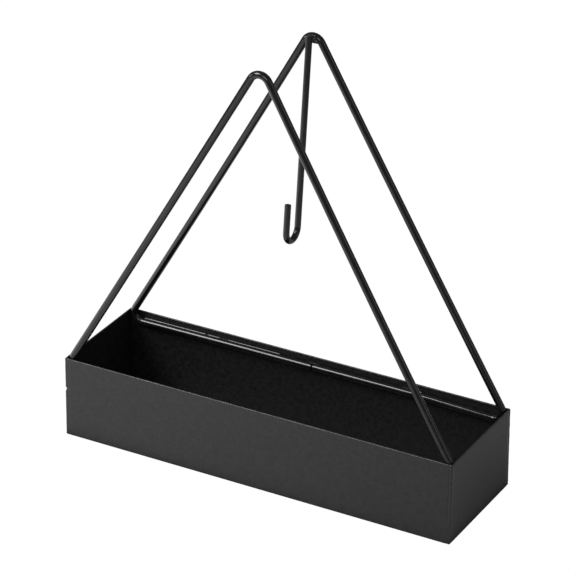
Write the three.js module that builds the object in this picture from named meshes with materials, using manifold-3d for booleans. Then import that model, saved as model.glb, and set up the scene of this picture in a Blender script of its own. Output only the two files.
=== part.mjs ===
// Mosquito coil holder: a long folded sheet tray, two bent wire loops welded inside its long
// walls, and a J-hook welded to the rear loop that carries the coil over the tray.
// Frame: millimetres, +Z up, +X along the tray, origin at the centre of the tray's underside.
import * as THREE from 'three';
import { mergeVertices } from 'three/addons/utils/BufferGeometryUtils.js';
import Module from 'manifold-3d';

const wasm = await Module();
wasm.setup();
const { Manifold, Mesh: SolidMesh } = wasm;

// ---------------------------------------------------------------- driving sizes
const TRAY_LENGTH = 200;        // outside, along X
const TRAY_DEPTH = 60;          // outside at the floor, along Y
const TRAY_HEIGHT = 40;         // floor underside to rim
const SHEET = 0.8;              // sheet with its coating
const WALL_LEAN = 1.0;          // degrees the long walls lean inwards
const FLOOR_BEND = 1.0;         // outside radius of the bends round the floor
const CORNER_ROUND = 1.0;       // outside rounding ground on the corner welds
const SEAM_BAND = 2.9;          // width of the welded band on each face of a corner

const LOOP_WIRE = 3.5;          // diameter of the loop wire
const FOOT_BEND_R = 4.6;        // centreline radius of the two lower bends
const BUTT_GAP = 0.3;           // gap left where the two wire ends meet
const END_ROUND = 0.35;         // rounding of the wire ends
// Each loop is bent by hand, so the two differ a little:
//   rise     rim to the point where the two leg centrelines would cross
//   peakX    sideways offset of that crossing
//   peakBend centreline radius of the peak bend
//   clear    end wall's inner face to the side of the leg at the rim, left and right
//   bow      inward bow of each leg at its middle, left and right
//   depth    lower run's depth below the rim, at its left foot, middle and right foot
const REAR_LOOP = {
  rise: 166.98, peakX: 0.66, peakBend: 4.65,
  clear: { left: 0.36, right: 0.33 }, bow: { left: 0.47, right: 0.47 },
  depth: { left: 4.6, middle: 4.4, right: 6.0 },
};
const FRONT_LOOP = {
  rise: 166.7, peakX: 0.5, peakBend: 5.0,
  clear: { left: 0.1, right: 0.4 }, bow: { left: 0.25, right: 0.6 },
  depth: { left: 5.0, middle: 5.0, right: 6.2 },
};

const SPOT_X = 48;              // outer spot welds, each side of the middle
const SPOT_LENGTH = 6.0;
const SPOT_HALF_HEIGHT = 1.15;
const STAND_OFF = 0.2;          // the spot welds hold the wire this far off the wall
const SEAM_FIT = 0.03;          // hairline left between parts that are welded together

const HOOK_WIRE = 3.0;          // diameter of the hook wire
const HOOK_X = 0.18;
const HOOK_LEAN = 6.08;         // degrees the shaft leans towards the front
const HOOK_BEND_R = 5.28;       // centreline radius of the J
const HOOK_SHAFT = 88.33;       // shaft from the loop's peak down to the J
const HOOK_TIP = 13.35;         // straight free leg after the J
const HOOK_ABOVE = 0.9;         // welded end above the middle of the peak wire
const WELD_SIDE = 0.8;          // middle of the broad weld to the shaft's right side
const WELD_DROP = 1.6;          // and below the top of the peak's centreline
const WELD_BITE = 0.4;          // how far the welds sit in from the back of the shaft
const WIRE_SIDES = 16;

// ---------------------------------------------------------------- derived sizes
const lean = THREE.MathUtils.degToRad(WALL_LEAN);
const slope = Math.tan(lean);
const halfL = TRAY_LENGTH / 2;
const halfD = TRAY_DEPTH / 2;
const loopR = LOOP_WIRE / 2;
const hookR = HOOK_WIRE / 2;
const SEAM_FOOT = FLOOR_BEND + 0.2;   // the corner welds start just above the floor bends
const kinkX = SPOT_X + SPOT_LENGTH / 2 + SEAM_FIT;   // beyond the outer spot welds the run falls
const halfSpan = (clearance) => halfL - SHEET - clearance - loopR;
const wireInset = (SHEET + STAND_OFF + loopR) / Math.cos(lean);

// ---------------------------------------------------------------- materials
const steel = (name, color, roughness, metalness) => {
  const m = new THREE.MeshStandardMaterial({ color, roughness, metalness });
  m.name = name;
  return m;
};
const sheetCoat = steel('sheet_coat', 0x3b3b3c, 0.55, 0.0);
const seamCoat = steel('seam_coat', 0x404140, 0.5, 0.0);
const wireCoat = steel('wire_coat', 0x2c2d2e, 0.32, 0.0);
const weldCoat = steel('weld_coat', 0x2a2a2b, 0.42, 0.0);

const group = new THREE.Group();
group.name = 'mosquito_coil_holder';
function add(name, geometry, material) {
  const mesh = new THREE.Mesh(geometry, material);
  mesh.name = name;
  group.add(mesh);
  return mesh;
}

// ---------------------------------------------------------------- solid helpers
function toSolid(geometry) {
  const g = geometry.clone();
  g.deleteAttribute('normal');
  g.deleteAttribute('uv');
  const m = mergeVertices(g, 1e-5);
  return new Manifold(new SolidMesh({
    numProp: 3,
    vertProperties: new Float32Array(m.attributes.position.array),
    triVerts: new Uint32Array(m.index.array),
  }));
}
function fromSolid(solid) {
  const m = solid.getMesh();
  const g = new THREE.BufferGeometry();
  g.setAttribute('position', new THREE.BufferAttribute(new Float32Array(m.vertProperties), 3));
  g.setIndex(new THREE.BufferAttribute(new Uint32Array(m.triVerts), 1));
  const flat = g.toNonIndexed();
  flat.computeVertexNormals();
  return flat;
}
// A mirrored piece has its faces turned inwards; swapping two corners of each turns them back.
function turnInsideOut(g) {
  const p = g.attributes.position.array;
  for (let i = 0; i < p.length; i += 9) {
    for (let k = 0; k < 3; k++) [p[i + 3 + k], p[i + 6 + k]] = [p[i + 6 + k], p[i + 3 + k]];
  }
}
// A closed section in two axes, extruded along the third.
function extrudeX(points, length) {
  const g = new THREE.ExtrudeGeometry(new THREE.Shape(points), { depth: length, bevelEnabled: false });
  g.translate(0, 0, -length / 2);
  g.applyMatrix4(new THREE.Matrix4().set(0, 0, 1, 0, 1, 0, 0, 0, 0, 1, 0, 0, 0, 0, 0, 1));
  return g;
}
function extrudeY(points, length) {
  const g = new THREE.ExtrudeGeometry(new THREE.Shape(points), { depth: length, bevelEnabled: false });
  g.translate(0, 0, -length / 2);
  g.applyMatrix4(new THREE.Matrix4().set(1, 0, 0, 0, 0, 0, -1, 0, 0, 1, 0, 0, 0, 0, 0, 1));
  return g;
}
// Upright U-shaped blank outline: rounded at the floor, open square at the top.
function uprightOutline(half, lift, top, radius, tan) {
  const pts = [];
  const steps = 5;
  for (const side of [1, -1]) {
    const arc = [];
    for (let i = 0; i <= steps; i++) {
      const a = -Math.PI / 2 + (Math.PI / 2) * (i / steps);
      arc.push(new THREE.Vector2(side * (half - radius + radius * Math.cos(a)), lift + radius + radius * Math.sin(a)));
    }
    const rim = new THREE.Vector2(side * (half - tan * (top - lift - radius)), top);
    if (side === 1) pts.push(...arc, rim);
    else pts.push(rim, ...arc.reverse());
  }
  return pts;
}
// Round wire swept along points that lie in one plane; both ends closed and softly rounded.
function sweepWire(path, radius, across, endRound) {
  const n = path.length;
  const rings = [];
  for (let i = 0; i < n; i++) {
    const before = path[Math.max(i - 1, 0)];
    const after = path[Math.min(i + 1, n - 1)];
    const dirIn = path[i].clone().sub(before).normalize();
    const dirOut = after.clone().sub(path[i]).normalize();
    const along = dirIn.clone().add(dirOut).normalize();
    const side = new THREE.Vector3().crossVectors(across, along).normalize();
    const stretch = i === 0 || i === n - 1 ? 1 : 1 / Math.max(0.5, dirIn.dot(along));
    rings.push({ at: path[i], along, side, stretch, r: radius });
  }
  const first = rings[0];
  const last = rings[n - 1];
  rings.unshift({ ...first, at: first.at.clone(), r: radius - endRound });
  first.at = first.at.clone().addScaledVector(first.along, endRound);
  rings.push({ ...last, at: last.at.clone(), r: radius - endRound });
  last.at = last.at.clone().addScaledVector(last.along, -endRound);
  const verts = [];
  for (const ring of rings) {
    for (let k = 0; k < WIRE_SIDES; k++) {
      const a = (2 * Math.PI * (k + 0.5)) / WIRE_SIDES;
      const p = ring.at.clone()
        .addScaledVector(ring.side, Math.cos(a) * ring.r * ring.stretch)
        .addScaledVector(across, Math.sin(a) * ring.r);
      verts.push(p.x, p.y, p.z);
    }
  }
  const index = [];
  const R = rings.length;
  for (let i = 0; i < R - 1; i++) {
    for (let k = 0; k < WIRE_SIDES; k++) {
      const k2 = (k + 1) % WIRE_SIDES;
      const a = i * WIRE_SIDES + k;
      const b = i * WIRE_SIDES + k2;
      const c = (i + 1) * WIRE_SIDES + k;
      const d = (i + 1) * WIRE_SIDES + k2;
      index.push(a, c, b, b, c, d);
    }
  }
  for (let k = 1; k < WIRE_SIDES - 1; k++) {
    index.push(0, k, k + 1);
    const e = (R - 1) * WIRE_SIDES;
    index.push(e, e + k + 1, e + k);
  }
  const g = new THREE.BufferGeometry();
  g.setAttribute('position', new THREE.BufferAttribute(new Float32Array(verts), 3));
  g.setIndex(index);
  const vol = signedVolume(verts, index);
  if (vol < 0) {
    for (let i = 0; i < index.length; i += 3) [index[i + 1], index[i + 2]] = [index[i + 2], index[i + 1]];
    g.setIndex(index);
  }
  const flat = g.toNonIndexed();
  flat.computeVertexNormals();
  return flat;
}
function signedVolume(v, index) {
  let total = 0;
  for (let i = 0; i < index.length; i += 3) {
    const [a, b, c] = [index[i] * 3, index[i + 1] * 3, index[i + 2] * 3];
    total += v[a] * (v[b + 1] * v[c + 2] - v[b + 2] * v[c + 1])
      - v[a + 1] * (v[b] * v[c + 2] - v[b + 2] * v[c])
      + v[a + 2] * (v[b] * v[c + 1] - v[b + 1] * v[c]);
  }
  return total / 6;
}
// Replace the corner V between points A and B by an arc of the given radius.
function fillet(A, V, B, radius, steps) {
  const u = A.clone().sub(V).normalize();
  const w = B.clone().sub(V).normalize();
  const half = Math.acos(THREE.MathUtils.clamp(u.dot(w), -1, 1)) / 2;
  const centre = V.clone().addScaledVector(u.clone().add(w).normalize(), radius / Math.sin(half));
  const from = V.clone().addScaledVector(u, radius / Math.tan(half)).sub(centre);
  const to = V.clone().addScaledVector(w, radius / Math.tan(half)).sub(centre);
  const a0 = Math.atan2(from.y, from.x);
  let sweep = Math.atan2(to.y, to.x) - a0;
  if (sweep > Math.PI) sweep -= 2 * Math.PI;
  if (sweep < -Math.PI) sweep += 2 * Math.PI;
  const out = [];
  for (let i = 0; i <= steps; i++) {
    const a = a0 + sweep * (i / steps);
    out.push(new THREE.Vector2(centre.x + radius * Math.cos(a), centre.y + radius * Math.sin(a)));
  }
  return out;
}

// ---------------------------------------------------------------- tray pan
// The blank is the shell between an outer and an inner rounded form; each form is where the
// section along X and the section along Y meet, so the floor bends mitre at the corners.
const TALL = TRAY_HEIGHT + 20;
function trayForm(inset, lift, top) {
  const radius = Math.max(FLOOR_BEND - inset, 0.3);
  const acrossY = uprightOutline(halfD - inset / Math.cos(lean) - slope * (lift + radius), lift, top, radius, slope);
  const acrossX = uprightOutline(halfL - inset, lift, top, radius, 0);
  const a = toSolid(extrudeX(acrossY, TRAY_LENGTH * 2));
  const b = toSolid(extrudeY(acrossX, TRAY_DEPTH * 2));
  return a.intersect(b);
}
const outerForm = trayForm(0, 0, TRAY_HEIGHT);
const innerForm = trayForm(SHEET, SHEET, TALL);

// A corner band in plan: an L with a ground outside corner, sheared to follow the leaning wall.
function cornerPlan(width, rounded, fit) {
  const w = width + fit;
  if (!rounded) {
    return [[-1, -1], [w, -1], [w, w], [-1, w]].map(([x, y]) => new THREE.Vector2(x, y));
  }
  const pts = [];
  const steps = 6;
  pts.push(new THREE.Vector2(w, 0), new THREE.Vector2(w, SHEET));
  const ir = 0.5;
  for (let i = 0; i <= 3; i++) {
    const a = -Math.PI / 2 - (Math.PI / 2) * (i / 3);
    pts.push(new THREE.Vector2(SHEET + ir + ir * Math.cos(a), SHEET + ir + ir * Math.sin(a)));
  }
  pts.push(new THREE.Vector2(SHEET, w), new THREE.Vector2(0, w));
  for (let i = 0; i <= steps; i++) {
    const a = Math.PI + (Math.PI / 2) * (i / steps);
    pts.push(new THREE.Vector2(CORNER_ROUND + CORNER_ROUND * Math.cos(a), CORNER_ROUND + CORNER_ROUND * Math.sin(a)));
  }
  return pts;
}
function cornerSolid(sx, sy, width, rounded, fit, top) {
  const shape = new THREE.Shape(cornerPlan(width, rounded, fit));
  const g = new THREE.ExtrudeGeometry(shape, { depth: top - SEAM_FOOT, bevelEnabled: false });
  g.translate(0, 0, SEAM_FOOT);
  // local (x, y) are distances in from the corner; y also follows the wall's lean
  const m = new THREE.Matrix4().set(-sx, 0, 0, sx * halfL, 0, -sy, -sy * slope, sy * halfD, 0, 0, 1, 0, 0, 0, 0, 1);
  g.applyMatrix4(m);
  if (sx * sy < 0) turnInsideOut(g);
  return toSolid(g);
}
let pan = outerForm.subtract(innerForm);
const CORNERS = [['front_left', -1, -1], ['front_right', 1, -1], ['rear_left', -1, 1], ['rear_right', 1, 1]];
for (const [, sx, sy] of CORNERS) {
  pan = pan.subtract(cornerSolid(sx, sy, SEAM_BAND, false, SEAM_FIT, TALL));
}
add('tray_pan', fromSolid(pan), sheetCoat);
for (const [where, sx, sy] of CORNERS) {
  add(`corner_weld_${where}`, fromSolid(cornerSolid(sx, sy, SEAM_BAND, true, 0, TRAY_HEIGHT)), seamCoat);
}

// ---------------------------------------------------------------- wire loops
// Each loop is drawn flat (x across, y up) and then stood up against its leaning wall.
function loopPath(loop) {
  const V = (x, y) => new THREE.Vector2(x, y);
  const peak = V(loop.peakX, TRAY_HEIGHT + loop.rise);
  const foot = (side, clearance, depth) => {
    const rim = V(side * halfSpan(clearance), TRAY_HEIGHT);
    const t = (loop.rise + depth) / loop.rise;
    return V(peak.x + (rim.x - peak.x) * t, TRAY_HEIGHT - depth);
  };
  const right = foot(1, loop.clear.right, loop.depth.right);
  const left = foot(-1, loop.clear.left, loop.depth.left);
  const level = TRAY_HEIGHT - loop.depth.middle;
  const kinkR = V(kinkX, level);
  const kinkL = V(-kinkX, level);
  const lowR = fillet(kinkR, right, peak, FOOT_BEND_R, 9);
  const top = fillet(right, peak, left, loop.peakBend, 9);
  const lowL = fillet(peak, left, kinkL, FOOT_BEND_R, 9);
  const leg = (a, b, bow) => {
    const out = [];
    const along = b.clone().sub(a);
    const n = V(-along.y, along.x).normalize();
    const STEPS = 8;
    for (let i = 1; i < STEPS; i++) {
      const t = i / STEPS;
      out.push(a.clone().addScaledVector(along, t).addScaledVector(n, bow * 4 * t * (1 - t)));
    }
    return out;
  };
  return [
    V(BUTT_GAP / 2, level), kinkR,
    ...lowR, ...leg(lowR[lowR.length - 1], top[0], loop.bow.right),
    ...top, ...leg(top[top.length - 1], lowL[0], loop.bow.left),
    ...lowL, kinkL, V(-BUTT_GAP / 2, level),
  ];
}
function standUp(mesh, side) {
  mesh.rotation.x = side * lean;
  mesh.position.y = side * (halfD - wireInset);
}
function addLoop(name, side, loop) {
  const path = loopPath(loop).map((p) => new THREE.Vector3(p.x, 0, p.y));
  const mesh = add(name, sweepWire(path, loopR, new THREE.Vector3(0, 1, 0), END_ROUND), wireCoat);
  standUp(mesh, side);
  const level = TRAY_HEIGHT - loop.depth.middle;
  for (const [where, x] of [['left', -SPOT_X], ['middle', 0], ['right', SPOT_X]]) {
    // pad of weld metal between the wire and the wall: flat on the wall, hollow on the wire
    const wallY = side * (loopR + STAND_OFF - SEAM_FIT);
    const bite = loopR + SEAM_FIT;
    const pts = [new THREE.Vector2(wallY, -SPOT_HALF_HEIGHT), new THREE.Vector2(wallY, SPOT_HALF_HEIGHT)];
    for (let i = 0; i <= 6; i++) {
      const h = SPOT_HALF_HEIGHT * (1 - i / 3);
      pts.push(new THREE.Vector2(side * Math.sqrt(bite * bite - h * h), h));
    }
    const pad = extrudeX(pts, SPOT_LENGTH);
    pad.translate(x, 0, level);
    const spot = add(`${name.replace('_loop', '')}_spot_weld_${where}`, pad, weldCoat);
    standUp(spot, side);
  }
}
addLoop('front_loop', -1, FRONT_LOOP);
addLoop('rear_loop', 1, REAR_LOOP);

// ---------------------------------------------------------------- hanging hook
// Drawn in the Y-Z plane. The shaft rests against the front of the rear loop's peak.
const legSlope = Math.atan2(REAR_LOOP.rise, halfSpan(REAR_LOOP.clear.left));
const peakDrop = REAR_LOOP.peakBend / Math.cos(legSlope) - REAR_LOOP.peakBend;
const peakAlong = TRAY_HEIGHT + REAR_LOOP.rise - peakDrop;
const peakZ = peakAlong * Math.cos(lean);
const peakY = halfD - wireInset - peakAlong * Math.sin(lean);
const tilt = THREE.MathUtils.degToRad(HOOK_LEAN);
const down = new THREE.Vector2(-Math.sin(tilt), -Math.cos(tilt));
const forward = new THREE.Vector2(-Math.cos(tilt), Math.sin(tilt));
const touch = new THREE.Vector2(peakY, peakZ).addScaledVector(forward, loopR + hookR + SEAM_FIT);
// points down the shaft's centreline, by distance below where it touches the peak wire
const onShaft = (distance) => touch.clone().addScaledVector(down, distance);
const bendStart = onShaft(HOOK_SHAFT);
const bendCentre = bendStart.clone().addScaledVector(forward, HOOK_BEND_R);
const hookPts = [onShaft(-HOOK_ABOVE), onShaft(HOOK_SHAFT / 2)];
const J_STEPS = 14;
for (let i = 0; i <= J_STEPS; i++) {
  const a = Math.PI * (i / J_STEPS);
  hookPts.push(bendCentre.clone()
    .addScaledVector(forward, -HOOK_BEND_R * Math.cos(a))
    .addScaledVector(down, HOOK_BEND_R * Math.sin(a)));
}
const bendEnd = hookPts[hookPts.length - 1];
hookPts.push(bendEnd.clone().addScaledVector(down, -HOOK_TIP));
const hookPath = hookPts.map((p) => new THREE.Vector3(HOOK_X, p.x, p.y));
const hookGeometry = sweepWire(hookPath, hookR, new THREE.Vector3(1, 0, 0), END_ROUND);
add('hanging_hook', hookGeometry, wireCoat);

// ---------------------------------------------------------------- hook welds
// Lumps of weld metal in the corners between the peak wire and the shaft, cut back by both:
// a broad one on the right under the peak, and a slim fillet down the shaft's left side.
function lump(x, y, z, rx, ry, rz) {
  const g = new THREE.SphereGeometry(1, 18, 12);
  g.scale(rx, ry, rz);
  g.translate(x, y, z);
  return toSolid(g);
}
const peakPath = loopPath(REAR_LOOP).filter((p) => p.y > peakAlong - 40).map((p) => new THREE.Vector3(p.x, 0, p.y));
const peakWire = sweepWire(peakPath, loopR + SEAM_FIT, new THREE.Vector3(0, 1, 0), END_ROUND);
peakWire.applyMatrix4(new THREE.Matrix4().makeRotationX(lean).setPosition(0, halfD - wireInset, 0));
const shaftPath = [onShaft(-HOOK_ABOVE - 3), onShaft(40)].map((p) => new THREE.Vector3(HOOK_X, p.x, p.y));
const shaftWire = sweepWire(shaftPath, hookR + SEAM_FIT, new THREE.Vector3(1, 0, 0), END_ROUND);
const keepOut = toSolid(peakWire).add(toSolid(shaftWire));
const beside = onShaft(WELD_DROP);
const weldY = beside.x + hookR - WELD_BITE;
const rightLump = lump(HOOK_X + hookR + WELD_SIDE, weldY, peakZ - WELD_DROP, 2.7, 2.0, 1.9).subtract(keepOut);
const leftLump = lump(HOOK_X - hookR + 0.15, weldY, peakZ - WELD_DROP - 1.2, 1.1, 1.3, 3.0).subtract(keepOut);
add('hook_weld_right', fromSolid(rightLump), weldCoat);
add('hook_weld_left', fromSolid(leftLump), weldCoat);

export default group;
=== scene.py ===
# %% [markdown]
# # A mosquito coil holder
# This holder is a small welded steel stand. A long shallow tray catches ash, a triangular wire
# loop stands on each long wall, and a J-hook hangs from the rear loop to carry a burning coil.
# All of it is covered by one black powder coat. The measured frame comes in first, because every
# piece made here takes its place from it.

# %% Load the measured frame
import math

import bpy
from mathutils import Matrix, Vector
from mathutils import noise as wavy


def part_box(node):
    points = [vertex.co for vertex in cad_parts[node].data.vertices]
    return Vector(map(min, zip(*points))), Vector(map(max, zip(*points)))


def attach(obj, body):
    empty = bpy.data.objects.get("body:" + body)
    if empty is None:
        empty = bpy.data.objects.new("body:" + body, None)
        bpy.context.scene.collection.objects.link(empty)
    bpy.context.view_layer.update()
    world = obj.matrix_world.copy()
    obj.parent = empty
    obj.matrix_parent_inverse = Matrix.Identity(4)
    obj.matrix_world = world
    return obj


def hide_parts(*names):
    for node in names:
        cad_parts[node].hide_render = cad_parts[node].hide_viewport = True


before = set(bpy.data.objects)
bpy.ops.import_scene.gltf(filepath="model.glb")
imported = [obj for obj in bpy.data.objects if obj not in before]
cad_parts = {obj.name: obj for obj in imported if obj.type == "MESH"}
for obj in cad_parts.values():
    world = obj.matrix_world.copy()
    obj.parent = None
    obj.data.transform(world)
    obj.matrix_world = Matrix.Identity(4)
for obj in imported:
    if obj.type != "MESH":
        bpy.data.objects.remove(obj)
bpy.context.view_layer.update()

MM = 0.001
print("measured nodes:", len(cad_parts))

# %% [markdown]
# ## Sizes
# The tray's length and the height of its rim are read back from the frame. Sizes that a box can't
# tell, such as the depth at the floor, the bend radii and the wire diameters, are named once here.

# %% Sizes of the tray, the wires and the welds
tray_low, tray_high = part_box("tray_pan")
TRAY_HALF_LENGTH = (tray_high.x - tray_low.x) / 2
TRAY_RIM = tray_high.z
TRAY_HALF_DEPTH = 30.0 * MM
WALL_LEAN = math.radians(1.0)
SHEET = 0.8 * MM
FLOOR_BEND = 0.7 * MM
INNER_BEND = 0.35 * MM
RIM_ROUND = 0.34 * MM
CORNER_ROUND = 0.5 * MM
INNER_CORNER = 0.35 * MM
SEAM_BAND = 2.9 * MM
SEAM_FOOT = FLOOR_BEND + 0.3 * MM

LOOP_WIRE = 3.5 * MM
HOOK_WIRE = 3.0 * MM
STAND_OFF = 0.2 * MM
FOOT_BEND = 4.6 * MM
SPOT_X = 48.0 * MM
SPOT_LENGTH = 6.0 * MM
KINK_BEND = 30.0 * MM
BUTT_GAP = 0.3 * MM

HOOK_X = 0.18 * MM
HOOK_LEAN = math.radians(6.08)
HOOK_BEND = 5.28 * MM
HOOK_SHAFT = 88.33 * MM
HOOK_TIP = 13.35 * MM
HOOK_ABOVE = 0.9 * MM
LEAN_SLOPE = math.tan(WALL_LEAN)
print("tray half length and rim height in mm:",
      round(TRAY_HALF_LENGTH / MM, 2), round(TRAY_RIM / MM, 2))

# %% [markdown]
# ## Camera
# A long lens far away keeps the tray's long edges nearly parallel. The camera is placed by an
# angle round the object, an angle above the ground and a distance from a target point, which is
# easier to think in than three coordinates.

# %% Camera
CAMERA_AROUND = math.radians(28.982)
CAMERA_ABOVE = math.radians(27.258)
CAMERA_ROLL = math.radians(0.261)
CAMERA_DISTANCE = 1.4343
CAMERA_LENS = 200.08
CAMERA_TARGET = Vector((0.001531, 0.0, 0.089049))


def direction(around, above):
    """The direction from the object to a place round it and above it, given by two angles."""
    return Vector((
        math.sin(around) * math.cos(above),
        -math.cos(around) * math.cos(above),
        math.sin(above),
    ))


def place(name, data):
    """A new object that holds this data, linked to the scene."""
    thing = bpy.data.objects.new(name, data)
    bpy.context.scene.collection.objects.link(thing)
    return thing


def camera_axes(around, above, roll):
    """The camera's right, up and backward directions."""
    back = direction(around, above)
    right = Vector((math.cos(around), math.sin(around), 0.0))
    up = back.cross(right)
    turned_right = right * math.cos(roll) + up * math.sin(roll)
    turned_up = up * math.cos(roll) - right * math.sin(roll)
    return turned_right, turned_up, back


cam_right, cam_up, cam_back = camera_axes(CAMERA_AROUND, CAMERA_ABOVE, CAMERA_ROLL)
camera_data = bpy.data.cameras.new("studio_camera")
camera_data.lens = CAMERA_LENS
camera_data.sensor_width = 36.0
camera_data.clip_start = 0.05
camera_data.clip_end = 20.0
camera = place("studio_camera", camera_data)
camera.matrix_world = Matrix.Translation(CAMERA_TARGET + cam_back * CAMERA_DISTANCE) @ Matrix((
    cam_right, cam_up, cam_back,
)).transposed().to_4x4()
bpy.context.scene.camera = camera
print("camera at", [round(v, 4) for v in camera.matrix_world.translation])

# %% [markdown]
# ## Small helpers for node trees
# Geometry and shader trees are built by the same three steps: add a node, set its values, link
# it. A short helper does all three, and a few more stand for the nodes that come back often, so
# each tree further down reads like a recipe.


# %% Node helpers
def fill(tree, socket, value):
    """Link an input to another node's output, or set its value."""
    if isinstance(value, bpy.types.NodeSocket):
        tree.links.new(value, socket)
    elif value is not None:
        socket.default_value = value


def add_node(tree, kind, values=None, **settings):
    """Add a node; settings are its own options, values fill its input sockets by name."""
    node = tree.nodes.new(kind)
    for option, value in settings.items():
        setattr(node, option, value)
    for name, value in (values or {}).items():
        fill(tree, node.inputs[name], value)
    return node


def math_node(tree, operation, first, second=None, clamp=False):
    """A Math node whose sockets are filled with numbers or linked from other sockets."""
    node = add_node(tree, "ShaderNodeMath", operation=operation, use_clamp=clamp)
    for socket, value in zip(node.inputs, (first, second)):
        fill(tree, socket, value)
    return node.outputs[0]


def mix_node(tree, kind, factor, first, second):
    """A Mix node between two colours ("RGBA") or two numbers ("FLOAT")."""
    node = add_node(tree, "ShaderNodeMix", {"Factor": factor}, data_type=kind)
    first_at, second_at, result_at = {"RGBA": (6, 7, 2), "FLOAT": (2, 3, 0)}[kind]
    fill(tree, node.inputs[first_at], first)
    fill(tree, node.inputs[second_at], second)
    return node.outputs[result_at]


def remap(tree, value, from_min, from_max, to_min=0.0, to_max=1.0):
    """A Map Range node, which stretches one range of values to another."""
    return add_node(tree, "ShaderNodeMapRange", {
        "Value": value, "From Min": from_min, "From Max": from_max,
        "To Min": to_min, "To Max": to_max,
    }).outputs[0]


def noise_mask(tree, vector, scale, detail, seed=None):
    """Noise around 0.5; a seed moves it along a fourth axis, so that no two pieces match."""
    values = {"Vector": vector, "Scale": scale, "Detail": detail}
    if seed is None:
        return add_node(tree, "ShaderNodeTexNoise", values).outputs["Fac"]
    values["W"] = seed
    return add_node(tree, "ShaderNodeTexNoise", values, noise_dimensions="4D").outputs["Fac"]


def scaled(tree, vector, scale):
    """A vector times a number."""
    return add_node(tree, "ShaderNodeVectorMath", {"Vector": vector, "Scale": scale},
                    operation="SCALE").outputs[0]


def new_group(name, kind, inputs, outputs):
    """A node group with named inputs and outputs; kinds go without NodeSocket in front."""
    tree = bpy.data.node_groups.new(name, kind)
    for label, socket_kind, value in inputs:
        socket = tree.interface.new_socket(
            name=label, in_out="INPUT", socket_type="NodeSocket" + socket_kind)
        if value is not None:
            socket.default_value = value
    for label, socket_kind in outputs:
        tree.interface.new_socket(
            name=label, in_out="OUTPUT", socket_type="NodeSocket" + socket_kind)
    start = tree.nodes.new("NodeGroupInput").outputs
    return tree, start, tree.nodes.new("NodeGroupOutput").inputs


# %% [markdown]
# ## The powder coat
# Powder coat is a plastic film melted onto the steel. It is never quite flat: a slow orange-peel
# ripple about a millimetre wide covers it, with a finer grain on top, and its gloss drifts a
# little from place to place. That skin is one shader group, used by every material with its own
# values, so the sheet, the seams and the wires look like one coat on different metal.


# %% Powder coat skin, shared by all materials
def build_skin_group():
    tree, start, end = new_group("powder_coat_skin", "ShaderNodeTree", [
        ("Vector", "Vector", None),
        ("Deep Tone", "Color", (0.012, 0.012, 0.012, 1.0)),
        ("Light Tone", "Color", (0.02, 0.02, 0.02, 1.0)),
        ("Patch Size", "Float", 7.0),
        ("Ripple Size", "Float", 1.0),
        ("Grain Size", "Float", 0.3),
        ("Grain Share", "Float", 0.3),
        ("Gloss Low", "Float", 0.35),
        ("Gloss High", "Float", 0.5),
    ], [("Colour", "Color"), ("Roughness", "Float"),
        ("Height", "Float")])
    in_millimetres = scaled(tree, start["Vector"], 1.0 / MM)

    def noise_at(size, detail):
        return noise_mask(tree, in_millimetres, math_node(tree, "DIVIDE", 1.0, size), detail)

    ripple = noise_at(start["Ripple Size"], 1.0)
    grain = noise_at(start["Grain Size"], 2.0)
    patches = noise_at(start["Patch Size"], 4.0)
    tone_mask = math_node(tree, "ADD", math_node(tree, "MULTIPLY", patches, 0.7),
                          math_node(tree, "MULTIPLY", grain, 0.3))
    tone = mix_node(tree, "RGBA", remap(tree, tone_mask, 0.38, 0.62),
                    start["Deep Tone"], start["Light Tone"])
    tree.links.new(tone, end["Colour"])
    gloss = remap(tree, patches, 0.3, 0.7, start["Gloss Low"], start["Gloss High"])
    tree.links.new(gloss, end["Roughness"])
    grain_height = math_node(tree, "MULTIPLY", grain, start["Grain Share"])
    tree.links.new(math_node(tree, "ADD", ripple, grain_height), end["Height"])
    return tree


skin_group = build_skin_group()
print("skin group inputs:",
      [s.name for s in skin_group.interface.items_tree if s.in_out == "INPUT"])

# %% [markdown]
# On a sharp sheet edge the melted powder draws back and lies thin, so the rim of the tray is a
# shade smoother than the walls, and its colour is painted lighter there as a painted highlight
# along the rim. A second group makes that mask from the height of the point alone, broken up by
# noise, and the sheet and the seam materials both use it. A third group marks the faces that look
# up and paints light flecks there: dust, and painted glints of the orange peel.


# %% Thin coat and painted highlight along the rim, and dust with painted glints
# This mask makes the rim's coat smoother, and the materials also use it to paint the rim lighter: a
# painted highlight.
def build_rim_coat_and_highlight_group():
    tree, start, end = new_group("thin_rim_coat_and_highlight", "ShaderNodeTree", [
        ("Vector", "Vector", None),
        ("Rim Height", "Float", TRAY_RIM),
        ("Rim Width", "Float", 0.5 * MM),
        ("Breakup Size", "Float", 3.0),
    ], [("Mask", "Float")])
    height = add_node(tree, "ShaderNodeSeparateXYZ", {"Vector": start["Vector"]}).outputs["Z"]
    below = math_node(tree, "SUBTRACT", start["Rim Height"], height)
    share = math_node(tree, "DIVIDE", below, start["Rim Width"])
    near = math_node(tree, "SUBTRACT", 1.0, share, clamp=True)
    scale = math_node(tree, "DIVIDE", 1.0 / MM, start["Breakup Size"])
    keep = remap(tree, noise_mask(tree, start["Vector"], scale, 3.0), 0.35, 0.6, 0.35, 1.0)
    tree.links.new(math_node(tree, "MULTIPLY", near, keep, clamp=True), end["Mask"])
    return tree


# Light flecks on faces that look up: dust, and painted glints of the orange peel.
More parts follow.
